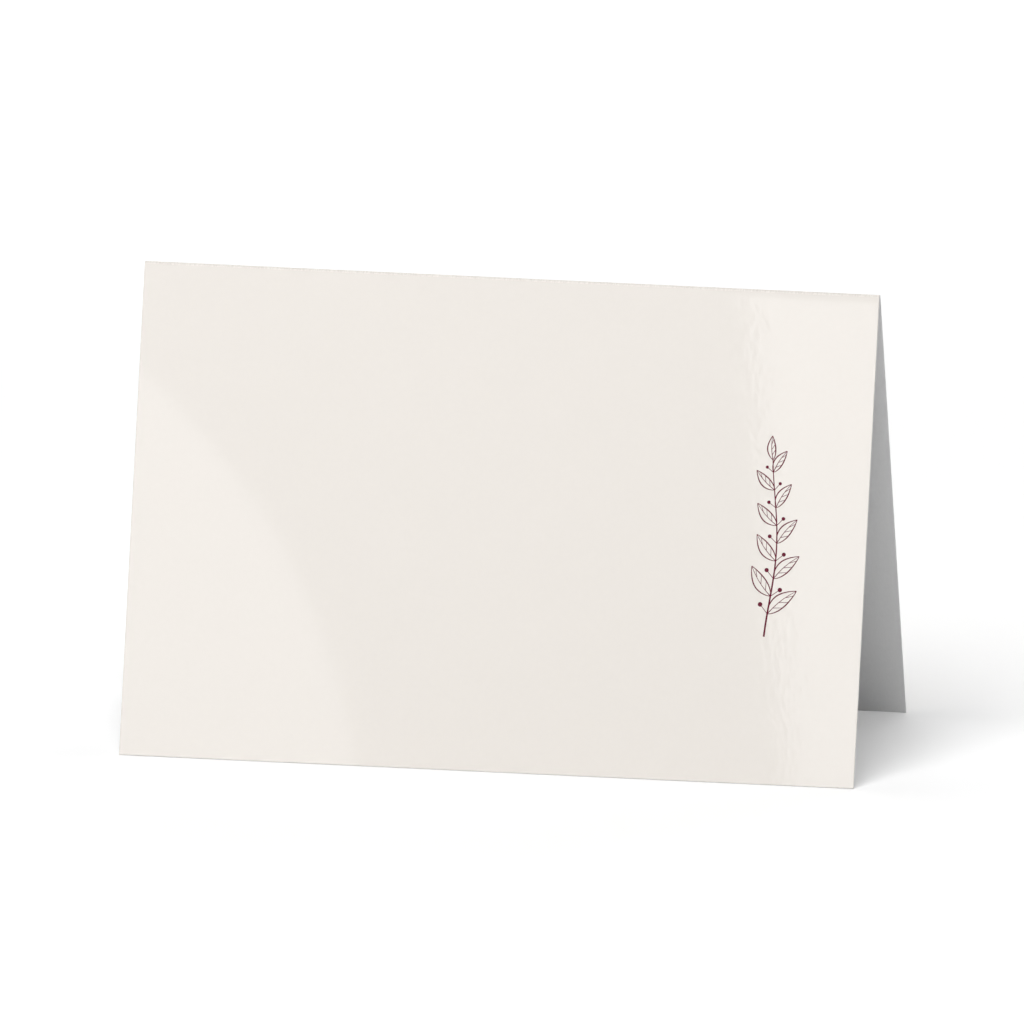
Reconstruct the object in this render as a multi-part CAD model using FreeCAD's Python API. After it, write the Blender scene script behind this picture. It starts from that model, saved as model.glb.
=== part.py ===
import FreeCAD, Part
import math
import os

# Greeting card: one sheet of board, folded once and stood open like a tent.
# Origin at the middle of the footprint, on the surface that the card stands on.
# X runs along the fold, the front panel is on the -Y side and Z is up.

# Driving sizes, in millimetres and degrees
card_length = 152.0
# One panel, measured over its outer face from its foot to the fold line
panel_height = 101.0
board_thickness = 0.4
# Tilt of each flat panel away from the vertical
lean_angle = 17.4
# Hollow of the crease at the fold line
crease_inner_radius = 0.25
# The board leaves the crease with a gentle bend before it runs flat
shoulder_radius = 16.0
shoulder_turn = 5.0

# Sizes that follow
crease_outer_radius = crease_inner_radius + board_thickness
# Directions of the outer face, as turns of its normal from straight up towards +Y
panel_turn = 90.0 - lean_angle
crease_turn = panel_turn - shoulder_turn
crease_run = crease_outer_radius * math.radians(crease_turn)
shoulder_run = shoulder_radius * math.radians(shoulder_turn)
flat_run = panel_height - crease_run - shoulder_run


def outward(turn):
    """Outward normal of the +Y half of the sheet at this turn from straight up."""
    angle = math.radians(turn)
    return FreeCAD.Vector(0.0, math.sin(angle), math.cos(angle))


def downward(turn):
    """Direction along the sheet towards its foot at this turn from straight up."""
    angle = math.radians(turn)
    return FreeCAD.Vector(0.0, math.cos(angle), -math.sin(angle))


def to_front(point):
    """The matching point of the -Y half."""
    return FreeCAD.Vector(point.x, -point.y, point.z)


def face_points(depth):
    """Points of the +Y half, this deep under the outer face, about a crease centre at zero."""
    shoulder_centre = outward(crease_turn) * (crease_outer_radius - shoulder_radius)
    shoulder = shoulder_radius - depth
    shoulder_end = shoulder_centre + outward(panel_turn) * shoulder
    return {
        "top": outward(0.0) * (crease_outer_radius - depth),
        "crease_end": outward(crease_turn) * (crease_outer_radius - depth),
        "shoulder_middle": shoulder_centre + outward((crease_turn + panel_turn) / 2) * shoulder,
        "shoulder_end": shoulder_end,
        "foot": shoulder_end + downward(panel_turn) * flat_run,
    }


def face_edges(depth, lift):
    """One face of the sheet in section, from the rear foot over the fold to the front foot."""
    rear = {name: point + lift for name, point in face_points(depth).items()}
    front = {name: to_front(point) for name, point in rear.items()}
    return [
        Part.LineSegment(rear["foot"], rear["shoulder_end"]).toShape(),
        Part.Arc(rear["shoulder_end"], rear["shoulder_middle"], rear["crease_end"]).toShape(),
        Part.Arc(rear["crease_end"], rear["top"], front["crease_end"]).toShape(),
        Part.Arc(front["crease_end"], front["shoulder_middle"], front["shoulder_end"]).toShape(),
        Part.LineSegment(front["shoulder_end"], front["foot"]).toShape(),
    ], rear["foot"], front["foot"]


def folded_sheet():
    """The whole card: its section in the YZ plane, run along X."""
    # The cut edges are square to the sheet, so each panel stands on its inner corner
    lift = FreeCAD.Vector(-card_length / 2, 0.0, -face_points(board_thickness)["foot"].z)
    outer_edges, outer_rear, outer_front = face_edges(0.0, lift)
    inner_edges, inner_rear, inner_front = face_edges(board_thickness, lift)
    front_cut = Part.LineSegment(outer_front, inner_front).toShape()
    rear_cut = Part.LineSegment(inner_rear, outer_rear).toShape()
    section = Part.Wire(outer_edges + [front_cut] + inner_edges[::-1] + [rear_cut])
    return Part.Face(section).extrude(FreeCAD.Vector(card_length, 0.0, 0.0))


os.makedirs("parts", exist_ok=True)
card = folded_sheet()
card.exportStep("parts/card.step")

box = card.BoundBox
print("height", round(box.ZMax, 3), "foot spacing", round(box.YLength, 3), "length", box.XLength)
print("volume", round(card.Volume, 2), "valid", card.isValid(), "lowest", round(box.ZMin, 6))
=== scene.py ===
import math

import bmesh
import bpy
from mathutils import Matrix, Vector
from mathutils.geometry import delaunay_2d_cdt


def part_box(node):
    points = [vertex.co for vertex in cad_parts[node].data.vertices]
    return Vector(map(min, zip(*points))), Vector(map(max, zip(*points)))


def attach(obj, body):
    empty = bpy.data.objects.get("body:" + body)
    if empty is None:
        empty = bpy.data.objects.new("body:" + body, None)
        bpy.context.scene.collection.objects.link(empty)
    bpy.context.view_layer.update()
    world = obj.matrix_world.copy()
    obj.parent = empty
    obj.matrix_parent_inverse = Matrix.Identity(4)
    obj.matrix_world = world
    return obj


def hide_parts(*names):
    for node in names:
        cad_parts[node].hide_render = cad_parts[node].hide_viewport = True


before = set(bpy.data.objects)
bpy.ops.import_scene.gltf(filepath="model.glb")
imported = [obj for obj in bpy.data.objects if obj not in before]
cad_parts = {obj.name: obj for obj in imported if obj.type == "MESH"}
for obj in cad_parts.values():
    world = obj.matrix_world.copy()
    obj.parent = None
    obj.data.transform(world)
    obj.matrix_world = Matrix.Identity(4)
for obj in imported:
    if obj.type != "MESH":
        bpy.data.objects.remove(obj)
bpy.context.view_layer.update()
MM = 0.001

# The folded sheet, in metres and degrees
BOARD = 0.4 * MM
LEAN = 17.4
CREASE_INNER = 0.25 * MM
SHOULDER_RADIUS = 16.0 * MM
SHOULDER_TURN = 5.0
CARD_LOW, CARD_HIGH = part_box("card")
LENGTH = CARD_HIGH.x - CARD_LOW.x
HEIGHT = CARD_HIGH.z - CARD_LOW.z

CREASE_OUTER = CREASE_INNER + BOARD
PANEL_TURN = 90.0 - LEAN
CREASE_TURN = PANEL_TURN - SHOULDER_TURN
CREASE_RUN = CREASE_OUTER * math.radians(CREASE_TURN)
SHOULDER_RUN = SHOULDER_RADIUS * math.radians(SHOULDER_TURN)

# The narrow strip along each cut edge, and how far its corners are rounded
RIM = 0.15 * MM
EDGE_ROUND = 0.05 * MM

# The photograph's view: orthographic, with the origin of the card at one pixel
IMAGE_PIXELS = 1024
CAMERA_AZIMUTH = 10.12
CAMERA_ELEVATION = 15.09
PIXELS_PER_METRE = 4909.0
ORIGIN_PIXEL = (512.62, 733.69)
CAMERA_DISTANCE = 2.0


def outward(turn):
    """Outward normal of the rear half of the sheet at this turn from straight up."""
    angle = math.radians(turn)
    return Vector((0.0, math.sin(angle), math.cos(angle)))


def downward(turn):
    """Direction along the rear half of the sheet towards its foot at this turn."""
    angle = math.radians(turn)
    return Vector((0.0, math.cos(angle), -math.sin(angle)))


CREASE_CENTRE = Vector((0.0, 0.0, CARD_HIGH.z - CREASE_OUTER))
SHOULDER_CENTRE = CREASE_CENTRE + outward(CREASE_TURN) * (CREASE_OUTER - SHOULDER_RADIUS)
SHOULDER_END = SHOULDER_CENTRE + outward(PANEL_TURN) * SHOULDER_RADIUS
# The cut edge is square to the sheet, so the outer corner of a foot stands a little high
FOOT_LIFT = BOARD * math.cos(math.radians(PANEL_TURN))
FLAT_RUN = (SHOULDER_END.z - CARD_LOW.z - FOOT_LIFT) / math.sin(math.radians(PANEL_TURN))
PANEL = CREASE_RUN + SHOULDER_RUN + FLAT_RUN


def sheet_point(x, run, depth=0.0):
    """A point of the sheet: run is measured over the outer face from the fold line, positive to the
    front foot and negative to the rear foot, and depth goes into the board."""
    down = abs(run)
    if down < CREASE_RUN:
        turn = math.degrees(down / CREASE_OUTER)
        point = CREASE_CENTRE + outward(turn) * (CREASE_OUTER - depth)
    elif down < CREASE_RUN + SHOULDER_RUN:
        turn = CREASE_TURN + math.degrees((down - CREASE_RUN) / SHOULDER_RADIUS)
        point = SHOULDER_CENTRE + outward(turn) * (SHOULDER_RADIUS - depth)
    else:
        along = down - CREASE_RUN - SHOULDER_RUN
        point = SHOULDER_END + downward(PANEL_TURN) * along - outward(PANEL_TURN) * depth
    return Vector((x, point.y if run < 0 else -point.y, point.z))


# Materials

def new_material(name):
    """A new material with its nodes, links and shader at hand."""
    material = bpy.data.materials.new(name)
    material.use_nodes = True
    tree = material.node_tree
    return material, tree.nodes, tree.links, tree.nodes["Principled BSDF"]


def noise(nodes, links, scale, detail=2.0, roughness=0.5, stretch=None):
    """Noise over the object's own coordinates; scale is in cells a metre."""
    place = nodes.new("ShaderNodeTexCoord")
    texture = nodes.new("ShaderNodeTexNoise")
    texture.inputs["Scale"].default_value = scale
    texture.inputs["Detail"].default_value = detail
    texture.inputs["Roughness"].default_value = roughness
    source = place.outputs["Object"]
    if stretch:
        mapping = nodes.new("ShaderNodeMapping")
        mapping.inputs["Scale"].default_value = stretch
        links.new(source, mapping.inputs["Vector"])
        source = mapping.outputs["Vector"]
    links.new(source, texture.inputs["Vector"])
    return texture.outputs["Fac"]


def tinted(nodes, links, fac, low, high, dark, light):
    """A colour that runs from dark to light as fac runs from low to high."""
    ramp = nodes.new("ShaderNodeValToRGB")
    ramp.color_ramp.elements[0].position = low
    ramp.color_ramp.elements[0].color = (*dark, 1.0)
    ramp.color_ramp.elements[1].position = high
    ramp.color_ramp.elements[1].color = (*light, 1.0)
    links.new(fac, ramp.inputs["Fac"])
    return ramp.outputs["Color"]


def bumped(nodes, links, height, size):
    """A normal that follows this height, where a height of 1 is this size."""
    bump = nodes.new("ShaderNodeBump")
    bump.inputs["Strength"].default_value = 1.0
    bump.inputs["Distance"].default_value = size
    links.new(height, bump.inputs["Height"])
    return bump.outputs["Normal"]


# Grain of each surface: its fineness in cells a metre, and its relief
MOTTLE_SCALE = 900.0
PEEL_SCALE = 900.0
PEEL_HEIGHT = 0.0028 * MM
CRACK_SCALE = 3200.0
CRACK_HEIGHT = 0.01 * MM
INK_SCALE = 4000.0
INK_HEIGHT = 0.002 * MM
FIBRE_SCALE = 2500.0
FIBRE_HEIGHT = 0.01 * MM
# Scales of the noise along X, Y and Z: cracks and fibres are long down the panels, short along the fold
CRACK_STRETCH = (1.0, 0.3, 0.3)
FIBRE_STRETCH = (1.0, 0.35, 0.35)


def coated(name, dark, light):
    """Printed board under a thin gloss film, with the slight orange peel of the film."""
    material, nodes, links, shader = new_material(name)
    mottle = noise(nodes, links, MOTTLE_SCALE, 4.0, 0.6)
    links.new(tinted(nodes, links, mottle, 0.3, 0.7, dark, light), shader.inputs["Base Color"])
    shader.inputs["Roughness"].default_value = 0.6
    shader.inputs["Specular IOR Level"].default_value = 0.2
    shader.inputs["Coat Weight"].default_value = 1.0
    shader.inputs["Coat Roughness"].default_value = 0.004
    shader.inputs["Coat IOR"].default_value = 1.5
    peel = bumped(nodes, links, noise(nodes, links, PEEL_SCALE, 1.0, 0.4), PEEL_HEIGHT)
    links.new(peel, shader.inputs["Coat Normal"])
    links.new(peel, shader.inputs["Normal"])
    return material


def creased_and_shaded(name, dark, light):
    """The same print along the fold, where the film is broken into fine cracks and has lost its gloss. Its
    colour is crack mottle mixed with painted shade, set so that the up-facing crown is no brighter than the
    panel.
    """
    material, nodes, links, shader = new_material(name)
    cracks = noise(nodes, links, CRACK_SCALE, 5.0, 0.7, CRACK_STRETCH)
    links.new(tinted(nodes, links, cracks, 0.35, 0.65, dark, light), shader.inputs["Base Color"])
    shader.inputs["Roughness"].default_value = 0.8
    shader.inputs["Specular IOR Level"].default_value = 0.1
    links.new(bumped(nodes, links, cracks, CRACK_HEIGHT), shader.inputs["Normal"])
    return material


def inked(name, dark, light):
    """Ink printed over the film: nearly matt, with a fine grain."""
    material, nodes, links, shader = new_material(name)
    grain = noise(nodes, links, INK_SCALE, 3.0, 0.6)
    links.new(tinted(nodes, links, grain, 0.3, 0.7, dark, light), shader.inputs["Base Color"])
    shader.inputs["Roughness"].default_value = 0.5
    shader.inputs["Specular IOR Level"].default_value = 0.12
    links.new(bumped(nodes, links, grain, INK_HEIGHT), shader.inputs["Normal"])
    return material


def uncoated(name, dark, light):
    """Bare board: matt, with fine fibres."""
    material, nodes, links, shader = new_material(name)
    fibre = noise(nodes, links, FIBRE_SCALE, 4.0, 0.6, FIBRE_STRETCH)
    links.new(tinted(nodes, links, fibre, 0.3, 0.7, dark, light), shader.inputs["Base Color"])
    shader.inputs["Roughness"].default_value = 0.85
    shader.inputs["Specular IOR Level"].default_value = 0.25
    links.new(bumped(nodes, links, fibre, FIBRE_HEIGHT), shader.inputs["Normal"])
    return material


CREAM_DARK = (0.811, 0.770, 0.722)
CREAM_LIGHT = (0.819, 0.778, 0.730)
# The fold strip's colours run from darker to lighter than the print over the film's cracks, and are set
# against the light on its up-facing crown: painted shade mixed with crack mottle
CREASE_CRACK_AND_SHADE_DARK = (0.77, 0.73, 0.685)
CREASE_CRACK_AND_SHADE_LIGHT = (0.89, 0.845, 0.80)
WHITE_DARK = (0.86, 0.86, 0.86)
WHITE_LIGHT = (0.89, 0.89, 0.89)
INK_DARK = (0.115, 0.008, 0.024)
INK_LIGHT = (0.145, 0.012, 0.033)


# The board

def stations():
    """Places along the sheet from the front foot to the rear foot, close together at the bends."""
    flat_rows = 50
    shoulder_rows = 6
    crease_rows = 12
    half = [CREASE_RUN * i / crease_rows for i in range(crease_rows)]
    half += [CREASE_RUN + SHOULDER_RUN * i / shoulder_rows for i in range(shoulder_rows)]
    half += [CREASE_RUN + SHOULDER_RUN + (FLAT_RUN - RIM) * i / flat_rows for i in range(flat_rows + 1)]
    half += [PANEL]
    return half[::-1] + [-run for run in half[1:]]


def columns():
    """Places along the fold from end to end, with a narrow rim at each end."""
    count = 76
    inner = LENGTH / 2 - RIM
    return [-LENGTH / 2] + [-inner + 2 * inner * i / count for i in range(count + 1)] + [LENGTH / 2]


# The board's materials, by their place in its list
OUTSIDE, INSIDE, CUT, FOLD = 0, 1, 2, 3


def build_board():
    """The folded sheet as one closed mesh with its printed outside, bare inside and cut edges."""
    runs = stations()
    xs = columns()
    shape = bmesh.new()
    outer = [[shape.verts.new(sheet_point(x, run)) for x in xs] for run in runs]
    inner = [[shape.verts.new(sheet_point(x, run, BOARD)) for x in xs] for run in runs]
    last_run = len(runs) - 1
    last_x = len(xs) - 1

    def face(corners, finish):
        shape.faces.new(corners).material_index = finish

    for i in range(last_run):
        printed = FOLD if abs(runs[i] + runs[i + 1]) < 2 * CREASE_RUN else OUTSIDE
        for j in range(last_x):
            face([outer[i][j], outer[i][j + 1], outer[i + 1][j + 1], outer[i + 1][j]], printed)
            face([inner[i][j], inner[i + 1][j], inner[i + 1][j + 1], inner[i][j + 1]], INSIDE)
    for j in range(last_x):
        face([outer[0][j], inner[0][j], inner[0][j + 1], outer[0][j + 1]], CUT)
        face([outer[last_run][j], outer[last_run][j + 1], inner[last_run][j + 1], inner[last_run][j]], CUT)
    for i in range(last_run):
        face([outer[i][0], outer[i + 1][0], inner[i + 1][0], inner[i][0]], CUT)
        face([outer[i][last_x], inner[i][last_x], inner[i + 1][last_x], outer[i + 1][last_x]], CUT)

    sharp = math.radians(60)
    cut_corners = [e for e in shape.edges if e.calc_face_angle() > sharp]
    bmesh.ops.bevel(shape, geom=cut_corners, offset=EDGE_ROUND, segments=2, profile=0.5, affect="EDGES")
    bmesh.ops.recalc_face_normals(shape, faces=shape.faces)
    for made in shape.faces:
        made.smooth = True
    mesh = bpy.data.meshes.new("folded_board")
    shape.to_mesh(mesh)
    shape.free()
    board = bpy.data.objects.new("folded_board", mesh)
    bpy.context.scene.collection.objects.link(board)
    mesh.materials.append(coated("cream_print", CREAM_DARK, CREAM_LIGHT))
    mesh.materials.append(uncoated("bare_inside", WHITE_DARK, WHITE_LIGHT))
    mesh.materials.append(uncoated("cut_edge", WHITE_DARK, WHITE_LIGHT))
    # The fold strip, whose colour holds painted shade that tones down the light on its crown
    mesh.materials.append(creased_and_shaded("fold_print_painted_shade", CREASE_CRACK_AND_SHADE_DARK, CREASE_CRACK_AND_SHADE_LIGHT))
    return board


board = build_board()
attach(board, "root")
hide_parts("card")


# The printed sprig on the front panel: flat shapes in millimetres, x to the right and y up the panel

SPRIG_X = 56.6 * MM
SPRIG_RUN = 50.4 * MM
PRINT_PROUD = 0.012 * MM
PRINT_SUNK = 0.008 * MM
STEM_BOTTOM = -20.5
STEM_TOP = 15.6
STEM_SWAY = 0.9
STEM_WIDTH = 0.38
STEM_TAPER = 0.2
LEAVES = 9
LEAF_LENGTH = 7.6
LEAF_WIDTH = 2.7
# The topmost leaf is this much smaller than the lowest one
LEAF_SHRINK = 0.32
END_LEAF_LENGTH = 4.9
END_LEAF_WIDTH = 1.7
BERRY_STALK = 2.0
BERRY_RADIUS = 0.48
BERRY_ANGLE = 47.0


def stem_point(t):
    """The stem's centre line, from its foot at 0 to its top at 1."""
    sway = STEM_SWAY * math.sin(math.radians(300 * t - 60))
    return Vector((sway, STEM_BOTTOM + (STEM_TOP - STEM_BOTTOM) * t))


def stem_direction(t):
    """The way the stem grows at this place."""
    step = 0.01
    return (stem_point(t + step) - stem_point(t - step)).normalized()


def turned(direction, degrees):
    """A direction of the panel turned to the left by this many degrees."""
    return Matrix.Rotation(math.radians(degrees), 2) @ direction


def stroke(path, widths):
    """A line of changing width, as four-cornered faces."""
    sides = []
    for i, point in enumerate(path):
        ahead = (path[min(i + 1, len(path) - 1)] - path[max(i - 1, 0)]).normalized()
        across = Vector((-ahead.y, ahead.x)) * (widths[i] / 2)
        sides.append((point - across, point + across))
    return [[a[0], b[0], b[1], a[1]] for a, b in zip(sides, sides[1:])]


def leaf(base, direction, length, width):
    """An outlined leaf with a vein, and fine shading strokes on one side of it."""
    count = 14
    gap = 3
    across = Vector((-direction.y, direction.x))
    steps = [i / count for i in range(count + 1)]
    bulge = [math.sin(math.pi * t ** 0.85) ** 0.9 if 0 < t < 1 else 0.0 for t in steps]
    spine = [base + direction * length * t + across * 0.05 * length * math.sin(math.pi * t) for t in steps]
    left = [point + across * b * width / 2 for point, b in zip(spine, bulge)]
    right = [point - across * b * width / 2 for point, b in zip(spine, bulge)]
    line = [0.13 + 0.12 * math.sin(math.pi * t) for t in steps]
    thin = [0.1 + 0.06 * (1 - t) for t in steps]
    shapes = stroke(left, line) + stroke(right, line) + stroke(spine, thin)
    for i in range(gap, count - gap - 1, gap):
        shapes += stroke([spine[i], right[i + gap]], [0.12, 0.09])
    return shapes


def berry(base, direction, stalk, radius):
    """A round berry on a thin stalk."""
    corners = 18
    tip = base + direction * stalk
    centre = tip + direction * radius * 0.9
    ring = [centre + turned(direction, 360 * i / corners) * radius for i in range(corners)]
    return stroke([base, (base + tip) / 2, centre], [0.15, 0.13, 0.13]) + [ring]


def sprig_shapes():
    """The stem with a leaf and a berry at each joint, on alternate sides, and a leaf at its top."""
    stem_steps = 40
    first, last = 0.13, 0.93
    ts = [i / stem_steps for i in range(stem_steps + 1)]
    shapes = stroke([stem_point(t) for t in ts], [STEM_WIDTH - STEM_TAPER * t for t in ts])
    for i in range(LEAVES):
        t = first + (last - first) * i / (LEAVES - 1)
        side = 1 if i % 2 else -1
        size = 1.0 - LEAF_SHRINK * i / (LEAVES - 1)
        joint = stem_point(t)
        leafward = turned(stem_direction(t), side * (44 - 8 * t))
        berryward = turned(stem_direction(t), -side * BERRY_ANGLE)
        shapes += leaf(joint, leafward, LEAF_LENGTH * size, LEAF_WIDTH * size)
        shapes += berry(joint, berryward, BERRY_STALK * size, BERRY_RADIUS * size)
    shapes += leaf(stem_point(1), stem_direction(1), END_LEAF_LENGTH, END_LEAF_WIDTH)
    return shapes


def joined_flat(shapes):
    """The shapes laid over each other as one flat set of triangles, with no overlaps."""
    corners = [corner for shape in shapes for corner in shape]
    faces = []
    for shape in shapes:
        start = faces[-1][-1] + 1 if faces else 0
        faces.append(list(range(start, start + len(shape))))
    points, _, triangles, _, _, sources = delaunay_2d_cdt(corners, [], faces, 1, 1e-4)
    return points, [triangle for triangle, source in zip(triangles, sources) if source]


def build_print():
    """The sprig as one thin closed layer of ink on the front panel."""
    points, triangles = joined_flat(sprig_shapes())
    shape = bmesh.new()
    layers = []
    for depth in (-PRINT_PROUD, PRINT_SUNK):
        places = [sheet_point(SPRIG_X + x * MM, SPRIG_RUN - y * MM, depth) for x, y in points]
        layers.append([shape.verts.new(place) for place in places])
    top, bottom = layers
    for triangle in triangles:
        shape.faces.new([top[i] for i in triangle])
    shape.verts.index_update()
    rims = [[v.index for v in e.verts] for e in shape.edges if len(e.link_faces) == 1]
    for triangle in triangles:
        shape.faces.new([bottom[i] for i in reversed(triangle)])
    for a, b in rims:
        shape.faces.new([top[a], top[b], bottom[b], bottom[a]])
    loose = [v for v in shape.verts if not v.link_faces]
    bmesh.ops.delete(shape, geom=loose, context="VERTS")
    bmesh.ops.recalc_face_normals(shape, faces=shape.faces)
    mesh = bpy.data.meshes.new("print_sprig")
    shape.to_mesh(mesh)
    shape.free()
    sprig = bpy.data.objects.new("print_sprig", mesh)
    bpy.context.scene.collection.objects.link(sprig)
    mesh.materials.append(inked("burgundy_ink", INK_DARK, INK_LIGHT))
    return sprig


sprig = build_print()
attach(sprig, "root")


# Camera

AZIMUTH = math.radians(CAMERA_AZIMUTH)
ELEVATION = math.radians(CAMERA_ELEVATION)
TO_CAMERA = Vector((
    math.sin(AZIMUTH) * math.cos(ELEVATION),
    -math.cos(AZIMUTH) * math.cos(ELEVATION),
    math.sin(ELEVATION),
))
VIEW_RIGHT = Vector((math.cos(AZIMUTH), math.sin(AZIMUTH), 0.0))
VIEW_UP = TO_CAMERA.cross(VIEW_RIGHT)


def on_view_plane(pixel):
    """The point of the plane through the origin, square to the view, that this pixel shows."""
    right = (pixel[0] - ORIGIN_PIXEL[0]) / PIXELS_PER_METRE
    up = (ORIGIN_PIXEL[1] - pixel[1]) / PIXELS_PER_METRE
    return VIEW_RIGHT * right + VIEW_UP * up


def make_camera():
    """The photograph's view, without perspective."""
    data = bpy.data.cameras.new("camera")
    data.type = "ORTHO"
    data.ortho_scale = IMAGE_PIXELS / PIXELS_PER_METRE
    data.clip_end = 3 * CAMERA_DISTANCE
    camera = bpy.data.objects.new("camera", data)
    bpy.context.scene.collection.objects.link(camera)
    centre = (IMAGE_PIXELS / 2, IMAGE_PIXELS / 2)
    camera.matrix_world = Matrix.Translation(on_view_plane(centre) + TO_CAMERA * CAMERA_DISTANCE) @ \
        Matrix((VIEW_RIGHT, VIEW_UP, TO_CAMERA)).transposed().to_4x4()
    bpy.context.scene.camera = camera


# Lights

LIGHT_DISTANCE = 1.2
# The round edge that the film mirrors at the lower left, as a circle in the picture
DISK_CENTRE = (-300.0, 866.0)
DISK_RADIUS = 664.0
DISK_DISTANCE = 0.6
# The upright edge that the film mirrors at the right: two pixels on it
SIDE_TOP = Vector((750.7, 300.0))
SIDE_BOTTOM = Vector((789.0, 780.0))
BOX_WIDTH = 0.06
BOX_LENGTH = 0.24
BOX_DISTANCE = 2.1
# The world's strength as a light. Where the world is seen it is 1.
AMBIENT = 0.10
FLOOR_SIZE = 6.0
# The floor's own glow close to the card, and the distances between which it grows to 1
FLOOR_GLOW = 0.20
FLOOR_NEAR = 0.3
FLOOR_FAR = 1.5
FRONT_NORMAL = Vector((0.0, -outward(PANEL_TURN).y, outward(PANEL_TURN).z))
MIRRORED = 2 * FRONT_NORMAL.dot(TO_CAMERA) * FRONT_NORMAL - TO_CAMERA


def on_front_panel(pixel):
    """The point of the front panel's plane that this pixel shows."""
    start = on_view_plane(pixel)
    foot = sheet_point(0.0, PANEL)
    return start + TO_CAMERA * ((foot - start).dot(FRONT_NORMAL) / TO_CAMERA.dot(FRONT_NORMAL))


def add_area_light(name, place, facing, up, size, radiance, shape="RECTANGLE"):
    """An area light at a place, facing away from the direction given, whose surface shines at radiance."""
    data = bpy.data.lights.new(name, "AREA")
    data.shape = shape
    data.size, data.size_y = size
    area = size[0] * size[1] * (math.pi / 4 if shape == "DISK" else 1.0)
    data.energy = radiance * area * math.pi
    light = bpy.data.objects.new(name, data)
    bpy.context.scene.collection.objects.link(light)
    back = facing.normalized()
    across = up.cross(back).normalized()
    light.matrix_world = Matrix.Translation(place) @ \
        Matrix((across, back.cross(across), back)).transposed().to_4x4()


def add_glare(name, centre, above, distance, size, radiance, shape):
    """A light that the front panel mirrors at the centre pixel, its long side towards the pixel above."""
    on_panel = on_front_panel(centre)
    up = on_front_panel(above) - on_panel
    add_area_light(name, on_panel + MIRRORED * distance, MIRRORED, up, size, radiance, shape)


def add_soft_light(name, zenith, azimuth, size, radiance, shape="RECTANGLE"):
    """A soft light aimed at the card. Zenith is its angle from straight up, and azimuth turns from the
    front towards +X."""
    tilt, turn = math.radians(zenith), math.radians(azimuth)
    towards = Vector((math.sin(tilt) * math.sin(turn), -math.sin(tilt) * math.cos(turn), math.cos(tilt)))
    aim = Vector((0.0, 0.0, HEIGHT / 3))
    add_area_light(name, aim + towards * LIGHT_DISTANCE, towards, Vector((0, 0, 1)), size, radiance, shape)


def make_lights():
    """Five soft lights around the card, and two that the film on its front panel mirrors."""
    add_soft_light("key", 33.0, -12.0, (0.8, 0.8), 6.2, "DISK")
    add_soft_light("front_fill", 81.0, 0.0, (1.0, 0.24), 3.2)
    add_soft_light("side_fill", 35.0, 225.0, (0.7, 0.7), 1.15, "DISK")
    add_soft_light("right_low", 78.0, 135.0, (0.8, 0.4), 1.2)
    add_soft_light("back_wide", 60.0, 172.0, (1.2, 0.8), 2.07)

    disk = 2 * DISK_RADIUS / PIXELS_PER_METRE
    above_disk = (DISK_CENTRE[0], 0.0)
    add_glare("left_disk", DISK_CENTRE, above_disk, DISK_DISTANCE, (disk, disk), 1.02, "DISK")
    along = (SIDE_TOP - SIDE_BOTTOM).normalized()
    aside = Vector((-along.y, along.x))
    centre = (SIDE_TOP + SIDE_BOTTOM) / 2 + aside * (BOX_WIDTH / 2 * PIXELS_PER_METRE)
    add_glare("right_box", centre, centre + along, BOX_DISTANCE, (BOX_WIDTH, BOX_LENGTH), 1.58, "RECTANGLE")


def seen(nodes, links):
    """1 for rays from the camera, reflections and rays through clear matter, 0 for light on its way."""
    path = nodes.new("ShaderNodeLightPath")
    value = path.outputs["Is Camera Ray"]
    for other in ("Is Glossy Ray", "Is Transmission Ray"):
        either = nodes.new("ShaderNodeMath")
        either.operation = "MAXIMUM"
        links.new(value, either.inputs[0])
        links.new(path.outputs[other], either.inputs[1])
        value = either.outputs["Value"]
    return value


def make_world():
    """White where it is seen, and only a little light of its own on everything else."""
    world = bpy.data.worlds.new("studio")
    world.use_nodes = True
    bpy.context.scene.world = world
    nodes, links = world.node_tree.nodes, world.node_tree.links
    strength = nodes.new("ShaderNodeMapRange")
    strength.inputs["To Min"].default_value = AMBIENT
    strength.inputs["To Max"].default_value = 1.0
    links.new(seen(nodes, links), strength.inputs["Value"])
    links.new(strength.outputs["Result"], nodes["Background"].inputs["Strength"])
    nodes["Background"].inputs["Color"].default_value = (1.0, 1.0, 1.0, 1.0)


def make_floor():
    """A plain white floor that keeps the card's shadow."""
    bpy.ops.mesh.primitive_plane_add(size=FLOOR_SIZE, location=(0.0, 0.0, CARD_LOW.z))
    floor = bpy.context.object
    floor.name = "floor"
    material, nodes, links, shader = new_material("floor_white")
    shader.inputs["Base Color"].default_value = (0.93, 0.93, 0.93, 1.0)
    shader.inputs["Roughness"].default_value = 1.0
    shader.inputs["Specular IOR Level"].default_value = 0.0
    # A little light of its own where it is seen, which whitens the floor and lights nothing. It grows
    # with the distance from the card, as the lamps fall off, so that the floor runs out in white.
    place = nodes.new("ShaderNodeTexCoord")
    distance = nodes.new("ShaderNodeVectorMath")
    distance.operation = "LENGTH"
    links.new(place.outputs["Object"], distance.inputs[0])
    growth = nodes.new("ShaderNodeMapRange")
    growth.inputs["From Min"].default_value = FLOOR_NEAR
    growth.inputs["From Max"].default_value = FLOOR_FAR
    growth.inputs["To Min"].default_value = FLOOR_GLOW
    growth.inputs["To Max"].default_value = 1.0
    links.new(distance.outputs["Value"], growth.inputs["Value"])
    glow = nodes.new("ShaderNodeMath")
    glow.operation = "MULTIPLY"
    links.new(growth.outputs["Result"], glow.inputs[0])
    links.new(seen(nodes, links), glow.inputs[1])
    links.new(glow.outputs["Value"], shader.inputs["Emission Strength"])
    shader.inputs["Emission Color"].default_value = (1.0, 1.0, 1.0, 1.0)
    floor.data.materials.append(material)


make_camera()
make_lights()
make_world()
make_floor()
bpy.context.scene.view_settings.view_transform = "Standard"
